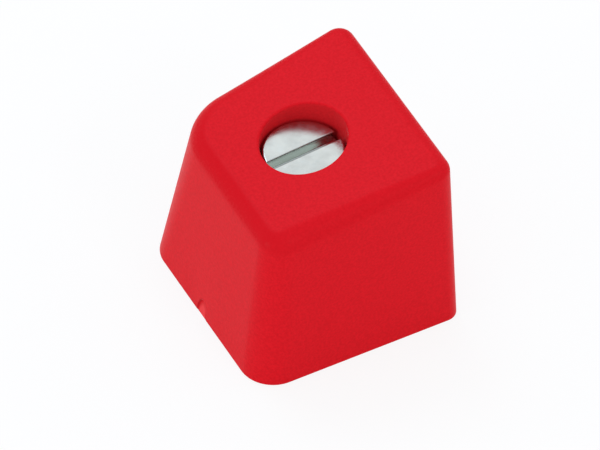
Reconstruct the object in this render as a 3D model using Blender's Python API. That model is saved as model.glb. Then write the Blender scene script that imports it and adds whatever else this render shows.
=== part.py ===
"""Bumper block with a sloping top, held on a square post by a slotted screw sunk in its top.

Metres, +Z up. The origin is the middle of the block's base. The low end of the top faces -Y.
"""

from math import cos, pi, radians, sin, tan

import bmesh
import bpy
from mathutils import Vector

# Block, outside
BASE_WIDTH = 0.0248
BASE_LENGTH = 0.0237
CENTRE_HEIGHT = 0.0208
TOP_TILT = radians(9.8)
TOP_LOW_WIDTH = 0.0214
TOP_HIGH_WIDTH = 0.0241
TOP_SHIFT = 0.0003
LOW_END_SETBACK = 0.0023
HIGH_END_SETBACK = 0.00085
BASE_LOW_RADIUS = 0.0037
BASE_HIGH_RADIUS = 0.0015
TOP_LEFT_RADIUS = 0.0060
TOP_RIGHT_RADIUS = 0.0028
TOP_HIGH_RADIUS = 0.00185
LOW_END_FILLET = 0.0022
SIDE_LOW_FILLET = 0.0025
SIDE_HIGH_FILLET = 0.0012
HIGH_END_FILLET = 0.0013

# Square post that the block sits on, and its socket
POST_SIDE = 0.0088
POST_CLEARANCE = 0.0001
ROOF_THICKNESS = 0.0028
SOCKET_CORNER_RADIUS = 0.0010

# Slotted cheese-head screw, M5
THREAD_DIAMETER = 0.0050
SHANK_LENGTH = 0.0100
TIP_CHAMFER = 0.0006
HEAD_DIAMETER = 0.0085
HEAD_HEIGHT = 0.0033
HEAD_EDGE_RADIUS = 0.0002
HEAD_SINK = 0.0018
SLOT_WIDTH = 0.0012
SLOT_DEPTH = 0.0013
SLOT_ANGLE = radians(94.4)

# Washers under the head, and the steel bush that takes the screw's load to the post
SPRING_WASHER_DIAMETER = 0.0083
SPRING_WASHER_THICKNESS = 0.0012
SPRING_WASHER_SLIT = 0.0007
FLAT_WASHER_DIAMETER = 0.0085
FLAT_WASHER_THICKNESS = 0.0010
BUSH_DIAMETER = 0.0070
BUSH_CHAMFER = 0.0003

# Clearances
SEAT_GAP = 0.0003
COUNTERBORE_CLEARANCE = 0.0003
BUSH_CLEARANCE = 0.0003
SHANK_CLEARANCE = 0.0003

# Facets
CORNER_STEPS = 7
SIDE_STEPS = 6
FILLET_STEPS = 6
ROUND_STEPS = 56
EDGE_STEPS = 4
CUT_OVERRUN = 0.0020

# Heights that follow from the sizes above
HEAD_TOP = CENTRE_HEIGHT - HEAD_SINK
HEAD_UNDERSIDE = HEAD_TOP - HEAD_HEIGHT
SPRING_WASHER_TOP = HEAD_UNDERSIDE - SEAT_GAP
FLAT_WASHER_TOP = SPRING_WASHER_TOP - SPRING_WASHER_THICKNESS - SEAT_GAP
SEAT_HEIGHT = FLAT_WASHER_TOP - FLAT_WASHER_THICKNESS - SEAT_GAP
SOCKET_DEPTH = SEAT_HEIGHT - ROOF_THICKNESS
SHANK_HOLE_RADIUS = THREAD_DIAMETER / 2 + SHANK_CLEARANCE
COUNTERBORE_RADIUS = FLAT_WASHER_DIAMETER / 2 + COUNTERBORE_CLEARANCE
TALLEST = CENTRE_HEIGHT + BASE_LENGTH * tan(TOP_TILT)


def clear_scene():
    """Removes every object, so that a second run starts empty."""
    for item in list(bpy.data.objects):
        bpy.data.objects.remove(item, do_unlink=True)


def finish(name, colour, roughness, metallic):
    """A Principled material of one colour."""
    material = bpy.data.materials.new(name)
    material.use_nodes = True
    shader = material.node_tree.nodes["Principled BSDF"]
    shader.inputs["Base Color"].default_value = (*colour, 1.0)
    shader.inputs["Roughness"].default_value = roughness
    shader.inputs["Metallic"].default_value = metallic
    return material


def add_object(name, bm, material=None, parent=None, height=0.0):
    """Puts a bmesh into the scene as a named object, at a height over its parent."""
    bmesh.ops.recalc_face_normals(bm, faces=bm.faces[:])
    mesh = bpy.data.meshes.new(name)
    bm.to_mesh(mesh)
    bm.free()
    item = bpy.data.objects.new(name, mesh)
    bpy.context.collection.objects.link(item)
    item.parent = parent
    item.location.z = height
    if material:
        mesh.materials.append(material)
        mesh.shade_smooth()
        mesh.set_sharp_from_angle(angle=radians(28))
    return item


def cut(item, bm, name, parent=None, height=0.0):
    """Takes the shape in a bmesh away from an object, with a hidden cutter and a Boolean."""
    cutter = add_object(name, bm, None, parent, height)
    cutter.hide_render = True
    cutter.display_type = "WIRE"
    boolean = item.modifiers.new(name, "BOOLEAN")
    boolean.operation = "DIFFERENCE"
    boolean.solver = "EXACT"
    boolean.object = cutter


def skin(rings):
    """Joins a row of like rings of points with faces, and closes both ends."""
    bm = bmesh.new()
    loops = [[bm.verts.new(point) for point in ring] for ring in rings]
    for lower, upper in zip(loops, loops[1:]):
        for i in range(len(lower)):
            bm.faces.new((lower[i - 1], lower[i], upper[i], upper[i - 1]))
    bm.faces.new(loops[0])
    bm.faces.new(loops[-1])
    return bm


def turned(profile, steps=ROUND_STEPS):
    """Spins a closed profile of (radius, height) points about Z; points on the axis become poles."""
    bm = bmesh.new()
    verts = [bm.verts.new((radius, 0.0, height)) for radius, height in profile]
    edges = [bm.edges.new((verts[i - 1], verts[i])) for i in range(len(verts))]
    bmesh.ops.spin(bm, geom=verts + edges, cent=(0, 0, 0), axis=(0, 0, 1), angle=2 * pi, steps=steps,
                   use_merge=True)
    bmesh.ops.remove_doubles(bm, verts=bm.verts[:], dist=1e-7)
    bmesh.ops.dissolve_degenerate(bm, edges=bm.edges[:], dist=1e-7)
    loose = [edge for edge in bm.edges if not edge.link_faces]
    bmesh.ops.delete(bm, geom=loose, context="EDGES")
    return bm


def tube(outer, inner, bottom, top, chamfer=0.0):
    """A turned tube between two heights, with its four edges broken by a chamfer if it has one."""
    if not chamfer:
        return turned([(outer, top), (outer, bottom), (inner, bottom), (inner, top)])
    return turned([
        (outer - chamfer, top), (outer, top - chamfer), (outer, bottom + chamfer), (outer - chamfer, bottom),
        (inner + chamfer, bottom), (inner, bottom + chamfer), (inner, top - chamfer), (inner + chamfer, top),
    ])


def rod(radius, bottom, top):
    """A turned solid rod between two heights."""
    return turned([(0.0, top), (radius, top), (radius, bottom), (0.0, bottom)])


def rounded_outline(corners, radii):
    """Points and outward normals round a convex polygon whose corners are arcs.

    Each corner gives CORNER_STEPS + 1 points, and each side SIDE_STEPS - 1 more between its arcs.
    """
    arcs = []
    for i, corner in enumerate(corners):
        back = (corners[i - 1] - corner).normalized()
        ahead = (corners[(i + 1) % len(corners)] - corner).normalized()
        half = back.angle(ahead) / 2
        centre = corner + (back + ahead).normalized() * radii[i] / sin(half)
        start = Vector((back.y, -back.x))
        if start.dot(ahead) > 0:
            start = -start
        turn = pi - 2 * half
        for k in range(CORNER_STEPS + 1):
            angle = turn * k / CORNER_STEPS
            normal = Vector((start.x * cos(angle) - start.y * sin(angle),
                             start.x * sin(angle) + start.y * cos(angle)))
            arcs.append((centre + normal * radii[i], normal))
    outline = []
    for i, (point, normal) in enumerate(arcs):
        outline.append((point, normal))
        if i % (CORNER_STEPS + 1) == CORNER_STEPS:
            following = arcs[(i + 1) % len(arcs)][0]
            outline += [(point.lerp(following, k / SIDE_STEPS), normal) for k in range(1, SIDE_STEPS)]
    return outline


def quadrilateral(low_width, high_width, low_y, high_y, middle=0.0):
    """Corners of a plan about a middle in X, anticlockwise from the low end's left."""
    return [Vector((middle - low_width / 2, low_y)), Vector((middle + low_width / 2, low_y)),
            Vector((middle + high_width / 2, high_y)), Vector((middle - high_width / 2, high_y))]


def block_rings():
    """The block's skin from base to top: straight rulings up to the edge of the sloping top, then its fillet.

    At each point of the outline the fillet is an arc tangent to the ruling below it and to the top. Its
    radius falls along the sides towards the high end, and blends into the ends' own radii at the corners.
    """
    low_y = -BASE_LENGTH / 2 + LOW_END_SETBACK
    high_y = BASE_LENGTH / 2 - HIGH_END_SETBACK
    base = rounded_outline(
        quadrilateral(BASE_WIDTH, BASE_WIDTH, -BASE_LENGTH / 2, BASE_LENGTH / 2),
        [BASE_LOW_RADIUS, BASE_LOW_RADIUS, BASE_HIGH_RADIUS, BASE_HIGH_RADIUS])
    top = rounded_outline(
        quadrilateral(TOP_LOW_WIDTH, TOP_HIGH_WIDTH, low_y, high_y, TOP_SHIFT),
        [TOP_LEFT_RADIUS, TOP_RIGHT_RADIUS, TOP_HIGH_RADIUS, TOP_HIGH_RADIUS])
    slope = tan(TOP_TILT)
    rings = [[] for _ in range(FILLET_STEPS + 2)]
    for (foot, _), (rim, normal) in zip(base, top):
        foot = Vector((foot.x, foot.y, 0.0))
        edge = Vector((rim.x, rim.y, CENTRE_HEIGHT + slope * rim.y))
        down = (foot - edge).normalized()
        inward = Vector((-normal.x, -normal.y, -slope * normal.y)).normalized()
        along = (rim.y - low_y) / (high_y - low_y)
        side_fillet = SIDE_LOW_FILLET + (SIDE_HIGH_FILLET - SIDE_LOW_FILLET) * along
        end_fillet = LOW_END_FILLET if normal.y < 0 else HIGH_END_FILLET
        radius = side_fillet + (end_fillet - side_fillet) * normal.y ** 2
        half = down.angle(inward) / 2
        centre = edge + (down + inward).normalized() * radius / sin(half)
        first = (edge + down * radius / tan(half) - centre).normalized()
        last = (edge + inward * radius / tan(half) - centre).normalized()
        rings[0].append(foot)
        for k in range(FILLET_STEPS + 1):
            rings[k + 1].append(centre + first.slerp(last, k / FILLET_STEPS) * radius)
    return rings


def make_block():
    """Moulded block: counterbore for the screw, bore for the bush, and a square socket in the base."""
    red = finish("moulded_red", (0.62, 0.012, 0.022), 0.42, 0.0)
    block = add_object("moulded_block", skin(block_rings()), red)
    cut(block, rod(COUNTERBORE_RADIUS, SEAT_HEIGHT, TALLEST + CUT_OVERRUN), "counterbore_cutter")
    cut(block, rod(BUSH_DIAMETER / 2 + BUSH_CLEARANCE, SOCKET_DEPTH / 2, SEAT_HEIGHT + CUT_OVERRUN), "bush_cutter")
    side = POST_SIDE + 2 * POST_CLEARANCE
    plan = rounded_outline(quadrilateral(side, side, -side / 2, side / 2), [SOCKET_CORNER_RADIUS] * 4)
    socket = skin([[(point.x, point.y, height) for point, _ in plan] for height in (-CUT_OVERRUN, SOCKET_DEPTH)])
    cut(block, socket, "socket_cutter")
    return block


def make_bush():
    """Steel bush in the block's bore, from the washer's seat to the end of the post."""
    steel = finish("bush_steel", (0.55, 0.55, 0.54), 0.35, 1.0)
    shape = tube(BUSH_DIAMETER / 2, SHANK_HOLE_RADIUS, SOCKET_DEPTH, SEAT_HEIGHT, BUSH_CHAMFER)
    return add_object("bore_bush", shape, steel)


def make_flat_washer(parent):
    """Plain washer on the floor of the counterbore; its origin is on the screw's axis."""
    zinc = finish("washer_zinc", (0.66, 0.67, 0.68), 0.3, 1.0)
    shape = tube(FLAT_WASHER_DIAMETER / 2, SHANK_HOLE_RADIUS, -FLAT_WASHER_THICKNESS, 0.0)
    return add_object("flat_washer", shape, zinc, parent, FLAT_WASHER_TOP - SEAT_HEIGHT)


def make_spring_washer(parent):
    """Spring washer pressed flat: a square wire bent round the shank, open at its slit."""
    dark = finish("spring_steel", (0.36, 0.36, 0.37), 0.35, 1.0)
    outer = SPRING_WASHER_DIAMETER / 2
    gap = SPRING_WASHER_SLIT / outer
    rings = []
    for k in range(ROUND_STEPS):
        angle = gap / 2 + (2 * pi - gap) * k / (ROUND_STEPS - 1)
        section = [(outer, 0.0), (outer, -SPRING_WASHER_THICKNESS),
                   (SHANK_HOLE_RADIUS, -SPRING_WASHER_THICKNESS), (SHANK_HOLE_RADIUS, 0.0)]
        rings.append([(radius * cos(angle), radius * sin(angle), height) for radius, height in section])
    return add_object("spring_washer", skin(rings), dark, parent, SPRING_WASHER_TOP - SEAT_HEIGHT)


def make_screw(parent):
    """Slotted cheese-head screw; its origin is on its axis, under the head."""
    zinc = finish("screw_zinc", (0.72, 0.74, 0.74), 0.28, 1.0)
    head = HEAD_DIAMETER / 2
    shank = THREAD_DIAMETER / 2
    profile = [(0.0, HEAD_HEIGHT)]
    for k in range(EDGE_STEPS + 1):
        angle = pi / 2 * (1 - k / EDGE_STEPS)
        profile.append((head - HEAD_EDGE_RADIUS * (1 - cos(angle)),
                        HEAD_HEIGHT - HEAD_EDGE_RADIUS * (1 - sin(angle))))
    profile += [(head, 0.0), (shank, 0.0), (shank, TIP_CHAMFER - SHANK_LENGTH),
                (shank - TIP_CHAMFER, -SHANK_LENGTH), (0.0, -SHANK_LENGTH)]
    screw = add_object("slotted_screw", turned(profile), zinc, parent, HEAD_UNDERSIDE - SEAT_HEIGHT)
    bm = bmesh.new()
    bmesh.ops.create_cube(bm, size=1.0)
    length = HEAD_DIAMETER + CUT_OVERRUN
    bmesh.ops.scale(bm, verts=bm.verts[:], vec=(length, SLOT_WIDTH, 2 * SLOT_DEPTH))
    cut(screw, bm, "slot_cutter", screw, HEAD_HEIGHT)
    bpy.data.objects["slot_cutter"].rotation_euler.z = SLOT_ANGLE
    return screw


def main():
    clear_scene()
    make_block()
    make_bush()
    axis = bpy.data.objects.new("screw_axis", None)
    axis.location.z = SEAT_HEIGHT
    bpy.context.collection.objects.link(axis)
    make_flat_washer(axis)
    make_spring_washer(axis)
    make_screw(axis)


main()
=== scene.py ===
"""Looks of a moulded bumper block held by a slotted screw: surfaces, finishes and a small studio.

Metres, +Z up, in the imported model's frame. The low end of the block's sloping top faces -Y.
"""

from math import cos, pi, radians, sin, tan

import bmesh
import bpy
import numpy as np
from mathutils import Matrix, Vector


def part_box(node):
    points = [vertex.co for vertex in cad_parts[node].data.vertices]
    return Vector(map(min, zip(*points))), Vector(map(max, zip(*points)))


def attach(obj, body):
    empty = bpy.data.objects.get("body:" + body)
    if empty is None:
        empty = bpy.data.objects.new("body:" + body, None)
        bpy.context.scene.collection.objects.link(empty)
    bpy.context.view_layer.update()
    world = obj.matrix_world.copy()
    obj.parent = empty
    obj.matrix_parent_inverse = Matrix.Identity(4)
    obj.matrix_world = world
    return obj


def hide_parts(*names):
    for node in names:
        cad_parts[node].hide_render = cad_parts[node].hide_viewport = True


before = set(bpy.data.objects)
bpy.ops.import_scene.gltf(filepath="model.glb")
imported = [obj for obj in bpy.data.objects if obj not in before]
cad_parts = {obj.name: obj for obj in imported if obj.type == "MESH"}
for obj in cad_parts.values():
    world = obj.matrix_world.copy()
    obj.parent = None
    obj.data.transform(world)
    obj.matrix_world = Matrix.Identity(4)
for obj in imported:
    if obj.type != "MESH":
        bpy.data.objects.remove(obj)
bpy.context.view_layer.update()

bl_info = {
    "name": "Bumper Block Looks",
    "version": (1, 0, 0),
    "blender": (4, 5, 0),
    "location": "View3D > Sidebar > Bumper",
    "description": "Builds the visible surfaces of a screw-on bumper block and its studio",
    "category": "Object",
}

BLOCK_LOW, BLOCK_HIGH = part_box("moulded_block")
SCREW_LOW, SCREW_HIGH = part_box("slotted_screw")
SPRING_LOW, SPRING_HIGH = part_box("spring_washer")
WASHER_LOW, WASHER_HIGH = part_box("flat_washer")
BUSH_LOW, BUSH_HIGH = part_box("bore_bush")


def length_setting(name, description, default):
    """A size in metres."""
    return bpy.props.FloatProperty(
        name=name, description=description, default=default, min=0.0, precision=5, unit="LENGTH"
    )


def angle_setting(name, description, degrees):
    """An angle, stored in radians."""
    return bpy.props.FloatProperty(
        name=name, description=description, default=radians(degrees), precision=4, unit="ROTATION"
    )


def colour_setting(name, description, default):
    """A linear colour without alpha."""
    return bpy.props.FloatVectorProperty(
        name=name, description=description, default=default, size=3, min=0.0, max=1.0, subtype="COLOR"
    )


def power_setting(name, description, default):
    """A lamp's power in watts."""
    return bpy.props.FloatProperty(
        name=name, description=description, default=default, min=0.0, precision=3, unit="POWER"
    )


def plain_setting(name, description, default):
    """A number with no unit."""
    return bpy.props.FloatProperty(
        name=name, description=description, default=default, min=0.0, precision=4
    )


class BlockSettings(bpy.types.PropertyGroup):
    """Sizes and finish of the moulded block."""

    base_width: length_setting("Base width", "Across the base, along X", BLOCK_HIGH.x - BLOCK_LOW.x)
    base_length: length_setting("Base length", "Along the base, along Y", BLOCK_HIGH.y - BLOCK_LOW.y)
    centre_height: length_setting("Centre height", "Height of the sloping top at the screw's axis", 0.0208)
    top_tilt: angle_setting("Top tilt", "Slope of the top, rising to +Y", 9.8)
    top_low_width: length_setting("Top width, low end", "Across the top at its low end", 0.0214)
    top_high_width: length_setting("Top width, high end", "Across the top at its high end", 0.0241)
    top_shift: length_setting("Top shift", "How far the top's middle lies to +X", 0.0003)
    low_setback: length_setting("Low end setback", "How far the low end leans in", 0.0023)
    high_setback: length_setting("High end setback", "How far the high end leans in", 0.00085)
    base_low_radius: length_setting("Base corner, low end", "Upright corner radius at the base", 0.0037)
    base_high_radius: length_setting("Base corner, high end", "Upright corner radius at the base", 0.0015)
    top_left_radius: length_setting("Top corner, low end, -X", "Upright corner radius at the top", 0.0060)
    top_right_radius: length_setting("Top corner, low end, +X", "Upright corner radius at the top", 0.0028)
    top_high_radius: length_setting("Top corner, high end", "Upright corner radius at the top", 0.00185)
    low_fillet: length_setting("Fillet, low end", "Rounding between the low end and the top", 0.0022)
    side_low_fillet: length_setting("Side fillet, low end", "Rounding between a side and the top", 0.0025)
    side_high_fillet: length_setting("Side fillet, high end", "Rounding between a side and the top", 0.0012)
    high_fillet: length_setting("Fillet, high end", "Rounding between the high end and the top", 0.0013)
    base_edge: length_setting("Base edge", "Rounding of the bottom edge", 0.00018)
    bore_radius: length_setting("Counterbore radius", "Hole that takes the screw head", 0.00455)
    bore_edge: length_setting("Counterbore edge", "Rounding of the hole's rim", 0.00028)
    seat_height: length_setting("Seat height", "Floor of the counterbore", BUSH_HIGH.z)
    bush_hole_radius: length_setting("Bush hole radius", "Hole in the floor for the bush", 0.0038)
    socket_side: length_setting("Socket side", "Square socket in the base", 0.0090)
    socket_corner: length_setting("Socket corner", "Corner radius of the socket", 0.0010)
    socket_depth: length_setting("Socket depth", "From the base to the socket's roof", BUSH_LOW.z)
    socket_edge: length_setting("Socket edge", "Chamfer round the socket's mouth", 0.0002)
    gate_place: bpy.props.FloatProperty(
        name="Gate place", description="Gate scar's place along X", default=-0.0002, precision=5,
        unit="LENGTH"
    )
    gate_half_width: length_setting("Gate half width", "Half of the gate scar, along X", 0.00100)
    gate_height: length_setting("Gate height", "Gate scar's height over the base", 0.0022)
    gate_depth: length_setting("Gate depth", "How far the gate scar is sunk", 0.00028)
    red: colour_setting("Red", "Colour of the plastic", (0.745, 0.0098, 0.0176))
    deep_red: colour_setting("Deep red", "Colour in the darker flecks", (0.66, 0.0078, 0.0142))
    # Painted shade: the edge red darkens the worn edges, which are also really smoother
    shaded_edge_red: colour_setting("Edge red", "Colour where the edges are worn smooth", (0.65, 0.0074, 0.0140))
    # The gate's broken, whitened plastic, with a painted highlight; the same pale red carries a painted
    # sheen round the scar and painted light in the counterbore
    broken_and_lit_red: colour_setting("Broken red", "Paler colour of the gate's scar", (0.86, 0.055, 0.060))
    # Painted shade: the dark line round the gate scar stands in for the shadow under its rim
    shadow_red: colour_setting("Grimy red", "Darker colour of the line round the scar", (0.42, 0.010, 0.014))


class ScrewSettings(bpy.types.PropertyGroup):
    """Sizes and finish of the slotted screw."""

    head_diameter: length_setting("Head diameter", "Across the head", SCREW_HIGH.x - SCREW_LOW.x)
    head_height: length_setting("Head height", "From the underside to the top", 0.0033)
    head_edge: length_setting("Head edge", "Rounding of the head's top edge", 0.0002)
    slot_width: length_setting("Slot width", "Across the slot", 0.0012)
    slot_depth: length_setting("Slot depth", "Depth of the slot", 0.0013)
    slot_edge: length_setting("Slot edge", "Rounding of the slot's edges", 0.00007)
    slot_angle: angle_setting("Slot angle", "Direction of the slot from +X", 94.4)
    thread_diameter: length_setting("Thread diameter", "Outside of the thread", 0.0050)
    thread_pitch: length_setting("Thread pitch", "Rise in one turn", 0.0008)
    thread_depth: length_setting("Thread depth", "Crest to root", 0.00049)
    tip_chamfer: length_setting("Tip chamfer", "Chamfer at the end of the shank", 0.0006)
    zinc: colour_setting("Zinc", "Colour of the plating", (0.51, 0.53, 0.50))
    dull_zinc: colour_setting("Dull zinc", "Colour where the plating is duller", (0.45, 0.465, 0.44))
    slot_grey: colour_setting("Slot grey", "Colour of the milled slot", (0.60, 0.64, 0.61))


class WasherSettings(bpy.types.PropertyGroup):
    """Sizes and finish of the spring washer and the flat washer."""

    hole_radius: length_setting("Hole radius", "Hole in both washers", 0.0028)
    spring_slit: length_setting("Spring washer slit", "Gap between the spring washer's ends", 0.0007)
    spring_edge: length_setting("Spring washer edge", "Rounding of the wire's edges", 0.00012)
    flat_edge: length_setting("Flat washer edge", "Rounding of the stamped edges", 0.00015)
    zinc: colour_setting("Zinc", "Colour of the flat washer", (0.72, 0.74, 0.74))
    dull_zinc: colour_setting("Dull zinc", "Colour where the plating is duller", (0.62, 0.64, 0.64))
    steel: colour_setting("Spring steel", "Colour of the spring washer", (0.42, 0.42, 0.43))
    dark_steel: colour_setting("Dark steel", "Colour of the scale on it", (0.33, 0.33, 0.34))


class BushSettings(bpy.types.PropertyGroup):
    """Sizes and finish of the steel bush."""

    hole_radius: length_setting("Hole radius", "Hole for the screw", 0.0028)
    chamfer: length_setting("Chamfer", "Chamfer of its edges", 0.0003)
    steel: colour_setting("Steel", "Colour of the turned steel", (0.58, 0.57, 0.56))
    dark_steel: colour_setting("Dark steel", "Colour in the tool marks", (0.47, 0.47, 0.46))


class StageSettings(bpy.types.PropertyGroup):
    """Floor, light and camera."""

    floor_radius: length_setting("Floor radius", "Half of the floor's width", 2.5)
    floor_white: colour_setting("Floor", "Colour of the floor", (0.95, 0.95, 0.95))
    floor_glow: plain_setting("Floor glow", "How much of the floor's white is its own", 0.86)
    sky_high: colour_setting("Sky overhead", "Light from straight above", (0.70, 0.74, 0.82))
    sky_low: colour_setting("Sky at the horizon", "Light from the sides", (0.86, 0.86, 0.86))
    key_power: power_setting("Key light", "Power of the light at the low end", 0.13)
    key_azimuth: angle_setting("Key azimuth", "Direction of the key light from the camera", -62.0)
    key_elevation: angle_setting("Key elevation", "Height of the key light", 9.0)
    key_distance: length_setting("Key distance", "From the block to the key light", 0.35)
    key_size: length_setting("Key size", "Side of the key light", 0.10)
    key_colour: colour_setting("Key colour", "Colour of the key light", (1.0, 0.99, 0.98))
    front_power: power_setting("Front light", "Power of the small light at the right", 0.15)
    front_azimuth: angle_setting("Front azimuth", "Direction of the front light from the camera", 42.0)
    front_elevation: angle_setting("Front elevation", "Height of the front light", 42.0)
    front_distance: length_setting("Front distance", "From the block to the front light", 0.4)
    front_size: length_setting("Front size", "Side of the front light", 0.08)
    front_colour: colour_setting("Front colour", "Colour of the front light", (1.0, 1.0, 1.0))
    head_power: power_setting("Head light", "Power of the light that the screw head mirrors", 0.048)
    head_azimuth: angle_setting("Head light azimuth", "Direction of the head light from the camera", 180.0)
    head_elevation: angle_setting("Head light elevation", "Height of the head light", 46.0)
    head_distance: length_setting("Head light distance", "From the block to the head light", 0.4)
    head_size: length_setting("Head light size", "Side of the head light", 0.16)
    head_colour: colour_setting("Head light colour", "Colour of the head light", (1.0, 1.0, 1.0))
    back_power: power_setting("Back light", "Power of the cool light at the back", 0.36)
    back_azimuth: angle_setting("Back azimuth", "Direction of the back light from the camera", -148.0)
    back_elevation: angle_setting("Back elevation", "Height of the back light", 58.0)
    back_distance: length_setting("Back distance", "From the block to the back light", 0.4)
    back_size: length_setting("Back size", "Side of the back light", 0.16)
    back_colour: colour_setting("Back colour", "Colour of the back light", (0.62, 0.82, 1.0))
    azimuth: angle_setting("Azimuth", "Camera's bearing; zero looks along +Y", 62.18)
    elevation: angle_setting("Elevation", "Camera's height over the horizon", 46.68)
    distance: length_setting("Distance", "From the camera to its target", 0.96)
    target: bpy.props.FloatVectorProperty(
        name="Target", description="Point at the middle of the image", size=3,
        default=(0.00235, -0.00167, 0.01092), precision=5, unit="LENGTH"
    )
    pixels_per_metre: plain_setting("Pixels a metre", "Scale at the target, in an image 600 wide", 9770.0)


# Meshes from grids

MERGE_DISTANCE = 1e-7
COLLAPSE_DISTANCE = 1e-8
SHARP_DEGREES = 35.0


def unit(vectors):
    """Vectors divided by their lengths."""
    return vectors / np.linalg.norm(vectors, axis=-1, keepdims=True)


def grid_faces(rows, columns, closed_rows, closed_columns=True):
    """Four-cornered faces of a grid; the last column or row joins the first where it is closed."""
    index = np.arange(rows * columns).reshape(rows, columns)
    if closed_columns:
        index = np.concatenate([index, index[:, :1]], axis=1)
    if closed_rows:
        index = np.concatenate([index, index[:1]], axis=0)
    corners = [index[:-1, :-1], index[:-1, 1:], index[1:, 1:], index[1:, :-1]]
    return np.stack(corners, axis=-1).reshape(-1, 4)


def add_piece(name, points, faces, sharp_degrees=SHARP_DEGREES, **marks):
    """Puts points and faces into a new object at the origin, merges its poles and shades it smooth.

    Marks are named numbers for each point, kept as attributes that the finish reads: polish says how far
    handling has worn the grain smooth and, on the block, how far painted shade darkens the edges. The stain
    and shading mark says how pale the surface is, from the gate's whitened scar, a painted highlight, a
    painted sheen and painted light, or below nought how dark it is under painted shade.
    """
    mesh = bpy.data.meshes.new(name)
    mesh.from_pydata(points.reshape(-1, 3), [], faces.tolist())
    for mark, values in marks.items():
        mesh.attributes.new(mark, "FLOAT", "POINT").data.foreach_set("value", values.ravel())
    piece = bpy.data.objects.new(name, mesh)
    bpy.context.scene.collection.objects.link(piece)
    merge_poles(mesh)
    mesh.shade_smooth()
    mesh.set_sharp_from_angle(angle=radians(sharp_degrees))
    return piece


def merge_poles(mesh):
    """Joins points that lie in one place and drops the faces that this closes."""
    bm = bmesh.new()
    bm.from_mesh(mesh)
    bmesh.ops.remove_doubles(bm, verts=bm.verts[:], dist=MERGE_DISTANCE)
    bmesh.ops.dissolve_degenerate(bm, edges=bm.edges[:], dist=COLLAPSE_DISTANCE)
    bm.to_mesh(mesh)
    bm.free()


def seat_piece(piece, body, node, material):
    """Makes a piece stand for its CAD node: body to ride on, material slot and finish."""
    piece.data.materials.append(material)
    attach(piece, body)
    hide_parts(node)


# Block surface

CORNER_STEPS = 20
FILLET_STEPS = 14
BASE_EDGE_STEPS = 4
RIM_STEPS = 6
SIDE_COLUMNS = 18
SIDE_ROWS = 24
TOP_ROWS = 14
WALL_ROWS = 12
BASE_ROWS = 6

# Fine grid round the gate scar, and the shares of the low end that it covers
GATE_COLUMNS = 36
GATE_COLUMN_SHARE = 0.07
GATE_ROWS = 33
GATE_ROW_SHARE = 0.13

# Gate scar: how steep it is, how pale (its whitened floor with a painted highlight, and a painted sheen
# round it) and how dark (painted shade along its rim), by its reach in shares of its own size
GATE_RIM = 0.16
GATE_RUN_OUT = 0.7
GATE_FLOOR = 0.78
GATE_FLOOR_SLOPE = 3
# Painted sheen: a faint pale glow round the scar
GATE_HALO = 0.12
GATE_HALO_REACH = 2.2
# Painted shade: a dark line along the scar's rim
GATE_LINE = 0.6
GATE_LINE_REACH = 0.93
GATE_LINE_WIDTH = 0.1

# Wear along the edges, which is most at the low end and where painted shade also darkens the colour, and
# painted light that makes the counterbore's wall paler
WEAR_AND_SHADE_SPREAD = 1.5
WEAR_AND_SHADE_ELSEWHERE = 0.3
BORE_PAINTED_LIGHT = 0.15
BORE_MARGIN = 0.1


def rounded_outline(corners, radii, arc_steps, side_shares):
    """Points and outward normals round a four-cornered plan, anticlockwise, with an arc at each corner.

    An arc turns from the normal of the side before to that of the side after it; each side then
    has points at the given shares of its straight part.
    """
    back = unit(np.roll(corners, 1, axis=0) - corners)
    ahead = unit(np.roll(corners, -1, axis=0) - corners)
    half = np.arccos(np.sum(back * ahead, axis=1)) / 2
    centres = corners + unit(back + ahead) * (radii / np.sin(half))[:, None]
    start = np.arctan2(back[:, 0], -back[:, 1])
    angles = start[:, None] + (pi - 2 * half)[:, None] * np.linspace(0, 1, arc_steps + 1)
    arc_normals = np.stack([np.cos(angles), np.sin(angles)], axis=-1)
    arcs = centres[:, None] + arc_normals * radii[:, None, None]
    ends, starts = arcs[:, -1], np.roll(arcs[:, 0], -1, axis=0)
    sides = ends[:, None] + (starts - ends)[:, None] * side_shares[None, :, None]
    side_normals = np.repeat(arc_normals[:, -1:], len(side_shares), axis=1)
    points = np.concatenate([arcs, sides], axis=1).reshape(-1, 2)
    normals = np.concatenate([arc_normals, side_normals], axis=1).reshape(-1, 2)
    return points, normals


def plan_corners(low_width, high_width, low_y, high_y, middle=0.0):
    """Corners of the block's plan about a middle in X, anticlockwise from the low end's left."""
    across = np.array([-low_width, low_width, high_width, -high_width]) / 2 + middle
    return np.column_stack([across, [low_y, low_y, high_y, high_y]])


def arc_between(edge, first_way, second_way, radius, steps):
    """Rings of the arc that is tangent to two directions leaving each point of a sharp edge.

    Its centre lies on the bisector at radius over the sine of half the angle, and the
    arc's own directions are turned evenly from one tangent point to the other.
    """
    half = np.arccos(np.clip(np.sum(first_way * second_way, axis=1), -1, 1))[:, None] / 2
    radius = np.broadcast_to(radius, (len(edge),))[:, None]
    centre = edge + unit(first_way + second_way) * radius / np.sin(half)
    first = unit(edge + first_way * radius / np.tan(half) - centre)
    last = unit(edge + second_way * radius / np.tan(half) - centre)
    turn = np.arccos(np.clip(np.sum(first * last, axis=1), -1, 1))[:, None]
    share = np.linspace(0, 1, steps + 1)[:, None, None]
    way = (np.sin((1 - share) * turn) * first + np.sin(share * turn) * last) / np.sin(turn)
    return centre + way * radius


def between(first, last, shares):
    """Rings between two rings, at the given shares of the way."""
    return first + (last - first) * np.asarray(shares)[:, None, None]


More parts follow.
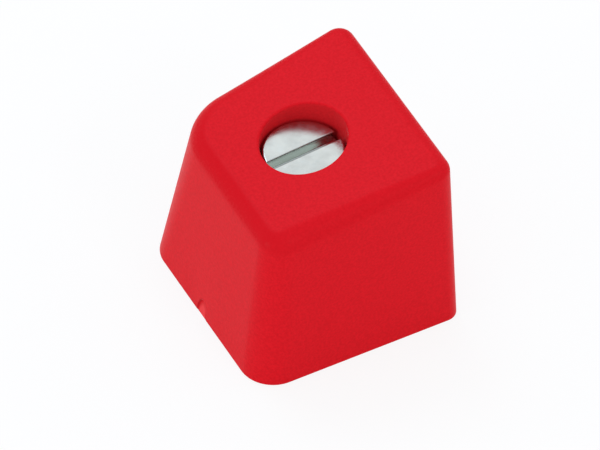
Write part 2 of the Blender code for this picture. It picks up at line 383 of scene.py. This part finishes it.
def square_reach(angle, half_side, corner):
    """Distance from the centre to a rounded square's edge at each angle.

    On a side it is half the side over the larger of cosine and sine; past the side's
    end it is where the ray meets the corner's circle.
    """
    c, s = np.abs(np.cos(angle)), np.abs(np.sin(angle))
    inner = half_side - corner
    along = inner * (c + s)
    on_corner = along + np.sqrt(np.maximum(along ** 2 - 2 * inner ** 2 + corner ** 2, 0))
    on_side = half_side / np.maximum(c, s)
    return np.where(on_side * np.minimum(c, s) <= inner, on_side, on_corner)


def ring_at(angle, reach, height):
    """A ring of points at given angles, distances from the axis and heights."""
    height = np.broadcast_to(height, angle.shape)
    return np.stack([reach * np.cos(angle), reach * np.sin(angle), height], axis=-1)


def sink_gate(points, size):
    """Sinks the half-round gate scar into the low end, next to the base, and returns its stain and painted
    shading.

    Inside a half ellipse on the base's edge, points go in along +Y. The depth starts from a short
    slope at the scar's rim and runs out again towards the base. The mark is pale on the scar's floor,
    where the plastic broke and whitened, with a painted highlight there. It is dark in a line along its
    rim, which is painted shade, and faintly pale round it by a bell curve, which is a painted sheen.
    """
    on_low_end = points[..., 1] < -size.base_length / 2 + size.low_setback
    across = (points[..., 0] - size.gate_place) / size.gate_half_width
    up = points[..., 2] / size.gate_height
    reach = np.hypot(across, up)
    rise = np.clip((1 - reach) / GATE_RIM, 0, 1)
    depth = size.gate_depth * rise * rise * (3 - 2 * rise) * np.clip(up, 0, 1) ** GATE_RUN_OUT
    points[..., 1] += np.where(on_low_end, depth, 0.0)
    floor = np.clip(GATE_FLOOR_SLOPE * (GATE_FLOOR - reach), 0, 1)
    halo = GATE_HALO * np.exp(-(reach / GATE_HALO_REACH) ** 2)
    line = GATE_LINE * np.exp(-((reach - GATE_LINE_REACH) / GATE_LINE_WIDTH) ** 2)
    return np.where(on_low_end, floor + halo - line, 0.0)


def block_surface(size):
    """Rings of the whole block, in a closed row: base, sides, top, counterbore, bush hole and socket.

    The sides are straight lines from a rounded base plan to a rounded plan in the plane of the
    sloping top, then arcs onto the top. Every ring has its points at like places round the axis,
    so the holes' rings follow the angle of the top's points. With the rings come their polish, which
    rises and falls by a sine across each worn edge and also sets the painted shade there, and their
    stain and shading mark: the gate's scar with its painted highlight, sheen and shade, and painted
    light in the counterbore.
    """
    low_y = -size.base_length / 2 + size.low_setback
    high_y = size.base_length / 2 - size.high_setback
    slope = tan(size.top_tilt)
    gate_share = 0.5 + size.gate_place / (size.base_width - 2 * size.base_low_radius)
    side_shares = np.unique(np.concatenate([
        np.linspace(0, 1, SIDE_COLUMNS + 1)[1:-1],
        gate_share + np.linspace(-GATE_COLUMN_SHARE, GATE_COLUMN_SHARE, GATE_COLUMNS)]))
    base, _ = rounded_outline(
        plan_corners(size.base_width, size.base_width, -size.base_length / 2, size.base_length / 2),
        np.array([size.base_low_radius] * 2 + [size.base_high_radius] * 2), CORNER_STEPS, side_shares)
    top, normals = rounded_outline(
        plan_corners(size.top_low_width, size.top_high_width, low_y, high_y, size.top_shift),
        np.array([size.top_left_radius, size.top_right_radius] + [size.top_high_radius] * 2),
        CORNER_STEPS, side_shares)
    foot = np.column_stack([base, np.zeros(len(base))])
    edge = np.column_stack([top, size.centre_height + slope * top[:, 1]])
    down = unit(foot - edge)
    inward = unit(np.column_stack([-normals, -slope * normals[:, 1]]))
    share = (top[:, 1] - low_y) / (high_y - low_y)
    side_radius = size.side_low_fillet + (size.side_high_fillet - size.side_low_fillet) * share
    end_radius = np.where(normals[:, 1] < 0, size.low_fillet, size.high_fillet)
    fillet_radius = side_radius + (end_radius - side_radius) * normals[:, 1] ** 2
    fillet = arc_between(edge, down, inward, fillet_radius, FILLET_STEPS)
    level_in = np.column_stack([-normals, np.zeros(len(normals))])
    base_edge = arc_between(foot, level_in, -down, size.base_edge, BASE_EDGE_STEPS)
    heights = np.unique(np.concatenate([
        np.linspace(0, 1, SIDE_ROWS + 1)[1:-1], np.linspace(0, GATE_ROW_SHARE, GATE_ROWS + 1)[1:]]))
    sides = between(base_edge[-1], fillet[0], heights)

    angle = np.arctan2(fillet[-1][:, 1], fillet[-1][:, 0])
    rim = ring_at(angle, size.bore_radius, size.centre_height + slope * size.bore_radius * np.sin(angle))
    outward = unit(np.column_stack([np.cos(angle), np.sin(angle), slope * np.sin(angle)]))
    straight_down = np.broadcast_to((0.0, 0.0, -1.0), outward.shape)
    rim_edge = arc_between(rim, outward, straight_down, size.bore_edge, RIM_STEPS)
    face = between(fillet[-1], rim_edge[0], np.linspace(0, 1, TOP_ROWS + 1)[1:-1])

    seat = ring_at(angle, size.bore_radius, size.seat_height)
    wall = between(rim_edge[-1], seat, np.linspace(0, 1, WALL_ROWS + 1)[1:])
    hole_top = ring_at(angle, size.bush_hole_radius, size.seat_height)
    hole_end = ring_at(angle, size.bush_hole_radius, size.socket_depth)
    reach = square_reach(angle, size.socket_side / 2, size.socket_corner)
    roof = ring_at(angle, reach, size.socket_depth)
    mouth = ring_at(angle, reach, size.socket_edge)
    lip = ring_at(angle, reach + size.socket_edge, 0.0)
    below = between(lip, base_edge[0], np.linspace(0, 1, BASE_ROWS + 1)[1:-1])
    holes = np.stack([hole_top, hole_end, roof, mouth, lip])
    parts = [below, base_edge, sides, fillet, face, rim_edge, wall, holes]
    rings = np.concatenate(parts)
    # Polish along the fillets and the base edge: real wear that smooths the grain, and painted shade that
    # darkens the colour there
    worn = [part is fillet or part is base_edge for part in parts]
    across_edge = np.concatenate([
        is_worn * np.clip(WEAR_AND_SHADE_SPREAD * np.sin(np.linspace(0, pi, len(part))), 0, 1)
        for part, is_worn in zip(parts, worn)])
    at_low_end = np.clip(-normals[:, 1], 0, 1) ** 2
    polish = np.outer(across_edge, WEAR_AND_SHADE_ELSEWHERE + (1 - WEAR_AND_SHADE_ELSEWHERE) * at_low_end)
    in_bore = np.hypot(rings[..., 0], rings[..., 1]) < size.bore_radius + BORE_MARGIN * size.bore_edge
    # Painted light: the counterbore's wall is made paler, on top of the gate scar's marks
    stain = sink_gate(rings, size) + np.where(in_bore, BORE_PAINTED_LIGHT, 0.0)
    rings[..., 2] = np.minimum(rings[..., 2], BLOCK_HIGH.z)
    return rings, polish, stain


# Screw, washer and bush surfaces

LAND_ROWS = 40
SLOT_EDGE_STEPS = 6
SLOT_FLOOR_ROWS = 4
SLOT_LEAN = 0.012
HEAD_COLUMNS = 96
HEAD_LOW_EDGE = 0.00015
NECK = 0.0002
THREAD_RINGS = 300
THREAD_RUN_OUT = 0.0005
FLANK_SLOPE = 1.5
CREST_CUT = 0.2
ROUND_STEPS = 96
WASHER_EDGE_STEPS = 4
CHAMFER_STEPS = 1
SCREW_SHARP_DEGREES = 30.0


def slot_profile(size):
    """Section of the head's top across its slot: distances from the middle and drops below the top.

    The lands' distances follow the sine of an angle, so that they close up at the head's
    edge; the slot's edges are rounded, and its walls lean by a hair.
    """
    radius, half = size.head_diameter / 2, size.slot_width / 2
    edge, depth = size.slot_edge, size.slot_depth
    lean = depth * SLOT_LEAN
    turn = np.linspace(0, pi / 2, SLOT_EDGE_STEPS + 1)
    land_start = np.arcsin((half + edge) / radius)
    land = radius * np.sin(np.linspace(pi / 2, land_start, LAND_ROWS))
    across = np.concatenate([
        land[:-1], half + edge * (1 - np.sin(turn)), [half - lean * 0.5],
        half - lean - edge * (1 - np.cos(turn)),
        np.linspace(half - lean - edge, 0, SLOT_FLOOR_ROWS + 1)[1:]])
    drop = np.concatenate([
        np.zeros(len(land) - 1), edge * (1 - np.cos(turn)), [depth * 0.5],
        depth - edge * (1 - np.sin(turn)), np.full(SLOT_FLOOR_ROWS, depth)])
    return np.concatenate([-across, across[-2::-1]]), np.concatenate([drop, drop[-2::-1]])


def head_top(size):
    """Grid over the head's top: the slot's section carried along the slot across a disc.

    In each row, the place along the slot is the half chord times the sine of an angle; the
    height is the top less the slot's drop or the edge's round drop, whichever is more.
    """
    radius = size.head_diameter / 2
    across, drop = slot_profile(size)
    chord = np.sqrt(np.maximum(radius ** 2 - across ** 2, 0))
    along = chord[:, None] * np.sin(np.linspace(-pi / 2, pi / 2, HEAD_COLUMNS + 1))
    reach = np.minimum(np.hypot(along, across[:, None]), radius)
    over = np.maximum(reach - (radius - size.head_edge), 0)
    rounding = size.head_edge - np.sqrt(np.maximum(size.head_edge ** 2 - over ** 2, 0))
    height = SCREW_HIGH.z - np.maximum(rounding, drop[:, None])
    c, s = cos(size.slot_angle), sin(size.slot_angle)
    across = np.broadcast_to(across[:, None], along.shape)
    return np.stack([along * c - across * s, along * s + across * c, height], axis=-1)


def shank_rings(size, angle):
    """Rings from the head's side down round the thread to the tip.

    The thread's radius falls from the crest by a clipped triangle wave of height over pitch
    less angle over a turn, and runs out towards the head.
    """
    radius, crest = size.head_diameter / 2, size.thread_diameter / 2
    under = SCREW_HIGH.z - size.head_height
    tip = SCREW_LOW.z
    low_edge = ring_at(angle, radius, under + HEAD_LOW_EDGE)
    underside = np.stack([
        ring_at(angle, radius - HEAD_LOW_EDGE, under), ring_at(angle, crest + NECK, under)])
    height = np.linspace(under - NECK, tip, THREAD_RINGS)[:, None]
    phase = (height / size.thread_pitch - angle / (2 * pi)) % 1.0
    wave = np.clip(np.abs(2 * phase - 1) * FLANK_SLOPE - CREST_CUT, 0, 1)
    run_out = np.clip((under - height - THREAD_RUN_OUT) / size.thread_pitch, 0, 1)
    thread = crest - size.thread_depth * wave * run_out
    tapered = np.minimum(thread, crest - size.tip_chamfer + np.maximum(height - tip, 0))
    place = np.broadcast_to(angle, tapered.shape)
    shank = np.stack([tapered * np.cos(place), tapered * np.sin(place),
                      np.broadcast_to(height, tapered.shape)], axis=-1)
    centre = ring_at(angle, 0.0, tip)
    return np.concatenate([low_edge[None], underside, shank, centre[None]])


def screw_surface(size):
    """Points, faces and polish of the screw: the slotted top's grid, and rings from its edge to the tip.

    Polish is one in the milled slot and nought elsewhere.
    """
    top = head_top(size)
    rows, columns = top.shape[:2]
    top_faces = grid_faces(rows, columns, False, False)
    edge = np.concatenate([top[:, -1], top[-2:0:-1, 0]])
    angle = np.unwrap(np.arctan2(edge[:, 1], edge[:, 0]))
    rings = np.concatenate([edge[None], shank_rings(size, angle)])
    side_faces = grid_faces(len(rings), len(edge), False)[:, ::-1] + rows * columns
    points = np.concatenate([top.reshape(-1, 3), rings.reshape(-1, 3)])
    in_slot = np.repeat(slot_profile(size)[1] > size.slot_edge, columns)
    polish = np.concatenate([in_slot, np.zeros(rings.size // 3)])
    return points, np.concatenate([top_faces, side_faces]), polish


def edged_section(inner, outer, bottom, top, edge, steps):
    """Closed section of a ring: a rectangle of radius and height whose corners are quarter arcs."""
    angle = np.linspace(0, pi / 2, steps + 1)
    corner = [(outer - edge, top - edge, 0), (inner + edge, top - edge, pi / 2),
              (inner + edge, bottom + edge, pi), (outer - edge, bottom + edge, 3 * pi / 2)]
    return np.concatenate([
        np.column_stack([r + edge * np.cos(angle + t), z + edge * np.sin(angle + t)])
        for r, z, t in corner])


def ring_surface(section, angles):
    """A section of (radius, height) points carried round the axis through the given angles."""
    radius, height = section[:, 0], section[:, 1]
    return np.stack([np.outer(np.cos(angles), radius), np.outer(np.sin(angles), radius),
                     np.broadcast_to(height, (len(angles), len(radius)))], axis=-1)


def full_turn(steps):
    """Angles once round, without the last."""
    return np.linspace(0, 2 * pi, steps, endpoint=False)


# Finishes

NOISE_LOW, NOISE_HIGH = 0.3, 0.7
RAMP_LOW, RAMP_HIGH = 0.35, 0.65

FLECK_SIZE = 0.00026
SATIN_SIZE = 0.0004
SATIN_SMOOTH, SATIN_ROUGH = 0.34, 0.42
EDGE_SMOOTHING = 0.12
PLASTIC_SHEEN = 0.031
GRAIN_SIZE, GRAIN_DEPTH = 0.00018, 0.000008
SWELL_SIZE, SWELL_DEPTH = 0.0016, 0.000006

ZINC_CLOUD_SIZE = 0.0014
ZINC_HAZE_SIZE = 0.0009
ZINC_HAZE_LOW, ZINC_HAZE_HIGH = 0.8, 1.25
MILLED_SMOOTHING = 0.6
ZINC_LINE_PERIOD, ZINC_LINE_DEPTH = 0.00012, 0.0000012
ZINC_GRAIN_SIZE, ZINC_GRAIN_DEPTH = 0.00025, 0.0000015
SCREW_ROUGHNESS = 0.21
WASHER_ROUGHNESS = 0.3

SCALE_SIZE = 0.0008
STEEL_HAZE_SIZE = 0.0005
STEEL_HAZE_LOW, STEEL_HAZE_HIGH = 0.8, 1.2
STEEL_GRAIN_SIZE, STEEL_MARK_DEPTH = 0.0002, 0.000003
SPRING_ROUGHNESS, SPRING_LINE_PERIOD = 0.35, 0.0002
BUSH_ROUGHNESS, BUSH_LINE_PERIOD = 0.32, 0.00015

FLOOR_MOTTLE, FLOOR_MOTTLE_SIZE = 0.985, 0.02
FLOOR_ROUGHNESS = 0.9


class Finish:
    """A material being built: a Principled shader, Object coordinates and short ways to add nodes."""

    def __init__(self, name):
        self.material = bpy.data.materials.new(name)
        self.material.use_nodes = True
        self.tree = self.material.node_tree
        self.shader = self.tree.nodes["Principled BSDF"]
        self.place = self.add("ShaderNodeTexCoord").outputs["Object"]

    def add(self, kind, **values):
        """A node of a kind; values set its properties, or its inputs by name."""
        node = self.tree.nodes.new(kind)
        for key, value in values.items():
            if hasattr(node, key):
                setattr(node, key, value)
            else:
                node.inputs[key.replace("_", " ")].default_value = value
        return node

    def link(self, output, node, name):
        """Joins an output to a named input."""
        self.tree.links.new(output, node.inputs[name])

    def noise(self, size, detail):
        """Noise whose cells are about size metres across."""
        noise = self.add("ShaderNodeTexNoise", Scale=1.0 / size, Detail=detail)
        self.link(self.place, noise, "Vector")
        return noise.outputs["Fac"]

    def turned_lines(self, period):
        """Fine rings round the Z axis, as a lathe leaves them; at scale one they repeat every pi / 10."""
        wave = self.add("ShaderNodeTexWave", wave_type="RINGS", rings_direction="Z",
                        Scale=pi / (10 * period), Distortion=1.5, Detail=3.0, Detail_Scale=0.6)
        self.link(self.place, wave, "Vector")
        return wave.outputs["Fac"]

    def spread(self, value, low, high):
        """Maps a noise's middle range to low to high."""
        node = self.add("ShaderNodeMapRange", From_Min=NOISE_LOW, From_Max=NOISE_HIGH,
                        To_Min=low, To_Max=high)
        self.link(value, node, "Value")
        return node.outputs["Result"]

    def ramp(self, value, first, second):
        """Goes from one colour to another over a value's middle range."""
        ramp = self.add("ShaderNodeValToRGB")
        ramp.color_ramp.elements[0].position = RAMP_LOW
        ramp.color_ramp.elements[1].position = RAMP_HIGH
        ramp.color_ramp.elements[0].color = (*first, 1.0)
        ramp.color_ramp.elements[1].color = (*second, 1.0)
        self.link(value, ramp, "Fac")
        return ramp.outputs["Color"]

    def mark(self, name):
        """One of the piece's own marks; nought where a piece has none."""
        return self.add("ShaderNodeAttribute", attribute_name=name).outputs["Fac"]

    def times(self, value, factor):
        """A value times a fixed factor."""
        node = self.add("ShaderNodeMath", operation="MULTIPLY")
        self.link(value, node, 0)
        node.inputs[1].default_value = factor
        return node.outputs["Value"]

    def mixed(self, share, colour, other):
        """Goes from a colour output to a fixed colour with a share, which is kept within nought and one."""
        mix = self.add("ShaderNodeMix", data_type="RGBA")
        self.link(share, mix, 0)
        self.link(colour, mix, 6)
        mix.inputs[7].default_value = (*other, 1.0)
        return mix.outputs[2]

    def smoothed(self, roughness, fall):
        """Takes a fall off a roughness output where the piece is polished."""
        node = self.add("ShaderNodeMath", operation="MULTIPLY_ADD")
        self.link(self.mark("polish"), node, 0)
        node.inputs[1].default_value = -fall
        self.link(roughness, node, 2)
        return node.outputs["Value"]

    def two_colours(self, value, first, second):
        """Base colour that goes from one colour to another with a value."""
        self.link(self.ramp(value, first, second), self.shader, "Base Color")

    def bumps(self, layers):
        """Bump from (value, depth in metres) layers, one over another."""
        normal = None
        for value, depth in layers:
            bump = self.add("ShaderNodeBump", Strength=1.0, Distance=depth)
            self.link(value, bump, "Height")
            if normal:
                self.link(normal, bump, "Normal")
            normal = bump.outputs["Normal"]
        self.link(normal, self.shader, "Normal")


def moulded_red(size):
    """Satin red plastic: a fine moulded grain with faint flecks, smoother along worn edges, which painted
    shade makes deeper.

    It is paler where the gate broke off and the plastic whitened, with a painted highlight there and a
    painted sheen round it. It is paler by painted light in the counterbore, and darker round the gate's
    scar by painted shade.
    """
    finish = Finish("moulded_red_satin")
    stain = finish.mark("stain")
    red = finish.ramp(finish.noise(FLECK_SIZE, detail=3.0), size.deep_red, size.red)
    # Painted shade: a darker red where the edges are worn
    red = finish.mixed(finish.mark("polish"), red, size.shaded_edge_red)
    # Paler: the gate's whitened scar with a painted highlight, a painted sheen round it, and painted light
    # in the counterbore
    red = finish.mixed(stain, red, size.broken_and_lit_red)
    # Painted shade: a darker red in the line along the gate scar's rim
    red = finish.mixed(finish.times(stain, -1.0), red, size.shadow_red)
    finish.link(red, finish.shader, "Base Color")
    satin = finish.spread(finish.noise(SATIN_SIZE, detail=2.0), SATIN_SMOOTH, SATIN_ROUGH)
    finish.link(finish.smoothed(satin, EDGE_SMOOTHING), finish.shader, "Roughness")
    finish.shader.inputs["Specular IOR Level"].default_value = PLASTIC_SHEEN
    finish.bumps([(finish.noise(GRAIN_SIZE, detail=2.0), GRAIN_DEPTH),
                  (finish.noise(SWELL_SIZE, detail=1.0), SWELL_DEPTH)])
    return finish.material


def plated_zinc(name, bright, dull, milled, roughness):
    """Zinc plate over turned steel: fine rings, cloudy duller patches, and smoother where it is milled."""
    finish = Finish(name)
    plate = finish.ramp(finish.noise(ZINC_CLOUD_SIZE, detail=3.0), dull, bright)
    finish.link(finish.mixed(finish.mark("polish"), plate, milled), finish.shader, "Base Color")
    haze = finish.noise(ZINC_HAZE_SIZE, detail=3.0)
    cloudy = finish.spread(haze, roughness * ZINC_HAZE_LOW, roughness * ZINC_HAZE_HIGH)
    finish.link(finish.smoothed(cloudy, MILLED_SMOOTHING * roughness), finish.shader, "Roughness")
    finish.shader.inputs["Metallic"].default_value = 1.0
    finish.bumps([(finish.turned_lines(ZINC_LINE_PERIOD), ZINC_LINE_DEPTH),
                  (finish.noise(ZINC_GRAIN_SIZE, detail=2.0), ZINC_GRAIN_DEPTH)])
    return finish.material


def bare_steel(name, bright, dark, roughness, line_period):
    """Bare steel with tool marks round the axis and darker scale."""
    finish = Finish(name)
    finish.two_colours(finish.noise(SCALE_SIZE, detail=4.0), dark, bright)
    haze = finish.noise(STEEL_HAZE_SIZE, detail=3.0)
    cloudy = finish.spread(haze, roughness * STEEL_HAZE_LOW, roughness * STEEL_HAZE_HIGH)
    finish.link(cloudy, finish.shader, "Roughness")
    finish.shader.inputs["Metallic"].default_value = 1.0
    finish.bumps([(finish.turned_lines(line_period), STEEL_MARK_DEPTH),
                  (finish.noise(STEEL_GRAIN_SIZE, detail=2.0), STEEL_MARK_DEPTH)])
    return finish.material


def floor_white(size):
    """Pale floor: part of its white is its own to the camera and in mirrors, the rest shows the shadow."""
    finish = Finish("floor_white")
    tree = finish.tree
    mottled = np.array(size.floor_white) * FLOOR_MOTTLE
    finish.two_colours(finish.noise(FLOOR_MOTTLE_SIZE, detail=3.0), mottled, size.floor_white)
    finish.shader.inputs["Roughness"].default_value = FLOOR_ROUGHNESS
    finish.shader.inputs["Specular IOR Level"].default_value = 0.0
    glow = finish.add("ShaderNodeEmission", Color=(1.0, 1.0, 1.0, 1.0), Strength=1.0)
    rays = finish.add("ShaderNodeLightPath")
    seen = rays.outputs["Is Camera Ray"]
    for ray in ("Is Glossy Ray", "Is Transmission Ray"):
        either = finish.add("ShaderNodeMath", operation="MAXIMUM")
        tree.links.new(seen, either.inputs[0])
        tree.links.new(rays.outputs[ray], either.inputs[1])
        seen = either.outputs[0]
    mix = finish.add("ShaderNodeMixShader")
    tree.links.new(finish.times(seen, size.floor_glow), mix.inputs[0])
    tree.links.new(finish.shader.outputs[0], mix.inputs[1])
    tree.links.new(glow.outputs[0], mix.inputs[2])
    tree.links.new(mix.outputs[0], tree.nodes["Material Output"].inputs["Surface"])
    return finish.material


# Operators

class BUMPER_OT_block(bpy.types.Operator):
    """Build the moulded block with its counterbore, bush hole and socket"""

    bl_idname = "bumper.block"
    bl_label = "Block"

    def execute(self, context):
        size = context.scene.bumper_block
        rings, polish, stain = block_surface(size)
        faces = grid_faces(*rings.shape[:2], True)
        block = add_piece("block_moulding", rings, faces, polish=polish, stain=stain)
        seat_piece(block, "block", "moulded_block", moulded_red(size))
        return {"FINISHED"}


class BUMPER_OT_screw(bpy.types.Operator):
    """Build the slotted screw with its thread"""

    bl_idname = "bumper.screw"
    bl_label = "Screw"

    def execute(self, context):
        size = context.scene.bumper_screw
        points, faces, polish = screw_surface(size)
        screw = add_piece("screw_slotted", points, faces, SCREW_SHARP_DEGREES, polish=polish)
        finish = plated_zinc(
            "screw_bright_zinc", size.zinc, size.dull_zinc, size.slot_grey, SCREW_ROUGHNESS)
        seat_piece(screw, "screw", "slotted_screw", finish)
        return {"FINISHED"}


class BUMPER_OT_washers(bpy.types.Operator):
    """Build the flat washer and the split spring washer"""

    bl_idname = "bumper.washers"
    bl_label = "Washers"

    def execute(self, context):
        size = context.scene.bumper_washers
        section = edged_section(size.hole_radius, WASHER_HIGH.x, WASHER_LOW.z, WASHER_HIGH.z,
                                size.flat_edge, WASHER_EDGE_STEPS)
        rings = ring_surface(section, full_turn(ROUND_STEPS))
        flat = add_piece("washer_flat", rings, grid_faces(*rings.shape[:2], True))
        finish = plated_zinc(
            "washer_zinc_plate", size.zinc, size.dull_zinc, size.dull_zinc, WASHER_ROUGHNESS)
        seat_piece(flat, "washers", "flat_washer", finish)

        outer = (SPRING_HIGH.y - SPRING_LOW.y) / 2
        section = edged_section(size.hole_radius, outer, SPRING_LOW.z, SPRING_HIGH.z,
                                size.spring_edge, WASHER_EDGE_STEPS)
        half_gap = size.spring_slit / outer / 2
        rings = ring_surface(section, np.linspace(half_gap, 2 * pi - half_gap, ROUND_STEPS + 1))
        first = np.broadcast_to(rings[0].mean(axis=0), rings[0].shape)
        last = np.broadcast_to(rings[-1].mean(axis=0), rings[-1].shape)
        rings = np.concatenate([first[None], rings, last[None]])
        spring = add_piece("washer_spring", rings, grid_faces(*rings.shape[:2], False))
        finish = bare_steel(
            "washer_spring_steel", size.steel, size.dark_steel, SPRING_ROUGHNESS, SPRING_LINE_PERIOD)
        seat_piece(spring, "washers", "spring_washer", finish)
        return {"FINISHED"}


class BUMPER_OT_bush(bpy.types.Operator):
    """Build the steel bush that takes the screw's load"""

    bl_idname = "bumper.bush"
    bl_label = "Bush"

    def execute(self, context):
        size = context.scene.bumper_bush
        section = edged_section(size.hole_radius, BUSH_HIGH.x, BUSH_LOW.z, BUSH_HIGH.z,
                                size.chamfer, CHAMFER_STEPS)
        rings = ring_surface(section, full_turn(ROUND_STEPS))
        bush = add_piece("bush_sleeve", rings, grid_faces(*rings.shape[:2], True))
        finish = bare_steel(
            "bush_turned_steel", size.steel, size.dark_steel, BUSH_ROUGHNESS, BUSH_LINE_PERIOD)
        seat_piece(bush, "block", "bore_bush", finish)
        return {"FINISHED"}


class BUMPER_OT_stage(bpy.types.Operator):
    """Build the floor, the soft light and the camera"""

    bl_idname = "bumper.stage"
    bl_label = "Stage"

    def execute(self, context):
        size = context.scene.bumper_stage
        lay_floor(size)
        light_sky(context.scene, size)
        for lamp in ("key", "front", "head", "back"):
            hang_softbox(size, lamp)
        stand_camera(context.scene, size)
        context.scene.view_settings.view_transform = "Standard"
        return {"FINISHED"}


# Stage

FLOOR_DROP = 0.00002
FLOOR_STEPS = 64
FLOOR_RINGS = 12
IMAGE_WIDTH = 600
SENSOR_WIDTH = 36.0
VIEW_NEAR, VIEW_FAR = 0.01, 20.0


def lay_floor(size):
    """A round floor just under the block: rings of points that widen by a square law from its middle."""
    angle = full_turn(FLOOR_STEPS)
    reach = size.floor_radius * np.linspace(0, 1, FLOOR_RINGS) ** 2
    rings = np.stack([ring_at(angle, r, -FLOOR_DROP) for r in reach])
    floor = add_piece("floor", rings, grid_faces(len(reach), len(angle), False)[:, ::-1])
    floor.data.materials.append(floor_white(size))


def light_sky(scene, size):
    """World light that goes from the horizon's colour to the overhead colour with height."""
    world = bpy.data.worlds.new("studio_sky")
    world.use_nodes = True
    tree = world.node_tree
    place = tree.nodes.new("ShaderNodeTexCoord")
    split = tree.nodes.new("ShaderNodeSeparateXYZ")
    ramp = tree.nodes.new("ShaderNodeValToRGB")
    ramp.color_ramp.elements[0].color = (*size.sky_low, 1.0)
    ramp.color_ramp.elements[1].color = (*size.sky_high, 1.0)
    tree.links.new(place.outputs["Generated"], split.inputs[0])
    tree.links.new(split.outputs["Z"], ramp.inputs["Fac"])
    tree.links.new(ramp.outputs["Color"], tree.nodes["Background"].inputs["Color"])
    scene.world = world


def bearing(azimuth, elevation):
    """Unit vector from the block towards a bearing; azimuth zero is -Y."""
    return Vector((sin(azimuth) * cos(elevation), -cos(azimuth) * cos(elevation), sin(elevation)))


def hang_softbox(size, name):
    """A square soft light, from the settings that start with its name."""
    lamp = bpy.data.lights.new(name + "_softbox", "AREA")
    lamp.shape = "SQUARE"
    lamp.size = getattr(size, name + "_size")
    lamp.energy = getattr(size, name + "_power")
    lamp.color = getattr(size, name + "_colour")
    softbox = bpy.data.objects.new(lamp.name, lamp)
    way = bearing(size.azimuth + getattr(size, name + "_azimuth"), getattr(size, name + "_elevation"))
    softbox.location = Vector(size.target) + way * getattr(size, name + "_distance")
    softbox.rotation_euler = way.to_track_quat("Z", "Y").to_euler()
    bpy.context.scene.collection.objects.link(softbox)


def stand_camera(scene, size):
    """A long lens far off, as near to a parallel view as the photograph is."""
    lens = bpy.data.cameras.new("camera")
    lens.sensor_width = SENSOR_WIDTH
    lens.lens = lens.sensor_width * size.pixels_per_metre * size.distance / IMAGE_WIDTH
    lens.clip_start, lens.clip_end = VIEW_NEAR, VIEW_FAR
    camera = bpy.data.objects.new("camera", lens)
    way = bearing(size.azimuth, size.elevation)
    camera.location = Vector(size.target) + way * size.distance
    camera.rotation_euler = way.to_track_quat("Z", "Y").to_euler()
    scene.collection.objects.link(camera)
    scene.camera = camera


# Panel and registration

class BUMPER_PT_panel(bpy.types.Panel):
    """Lists the pieces and their settings"""

    bl_idname = "BUMPER_PT_panel"
    bl_label = "Bumper Block"
    bl_space_type = "VIEW_3D"
    bl_region_type = "UI"
    bl_category = "Bumper"

    def draw(self, context):
        for operator, group in PIECES:
            box = self.layout.box()
            box.operator(operator.bl_idname)
            settings = getattr(context.scene, group)
            for name in settings.bl_rna.properties.keys():
                if name not in ("rna_type", "name"):
                    box.prop(settings, name)


PIECES = (
    (BUMPER_OT_block, "bumper_block"),
    (BUMPER_OT_bush, "bumper_bush"),
    (BUMPER_OT_washers, "bumper_washers"),
    (BUMPER_OT_screw, "bumper_screw"),
    (BUMPER_OT_stage, "bumper_stage"),
)
GROUPS = {
    "bumper_block": BlockSettings,
    "bumper_bush": BushSettings,
    "bumper_washers": WasherSettings,
    "bumper_screw": ScrewSettings,
    "bumper_stage": StageSettings,
}


def register():
    """Registers the settings, the operators and the panel."""
    for name, group in GROUPS.items():
        bpy.utils.register_class(group)
        setattr(bpy.types.Scene, name, bpy.props.PointerProperty(type=group))
    for operator, _ in PIECES:
        bpy.utils.register_class(operator)
    bpy.utils.register_class(BUMPER_PT_panel)


def unregister():
    """Takes them away again, in the opposite order."""
    bpy.utils.unregister_class(BUMPER_PT_panel)
    for operator, _ in reversed(PIECES):
        bpy.utils.unregister_class(operator)
    for name, group in reversed(GROUPS.items()):
        delattr(bpy.types.Scene, name)
        bpy.utils.unregister_class(group)


def main():
    register()
    bpy.ops.bumper.block()
    bpy.ops.bumper.bush()
    bpy.ops.bumper.washers()
    bpy.ops.bumper.screw()
    bpy.ops.bumper.stage()


if __name__ == "__main__":
    main()
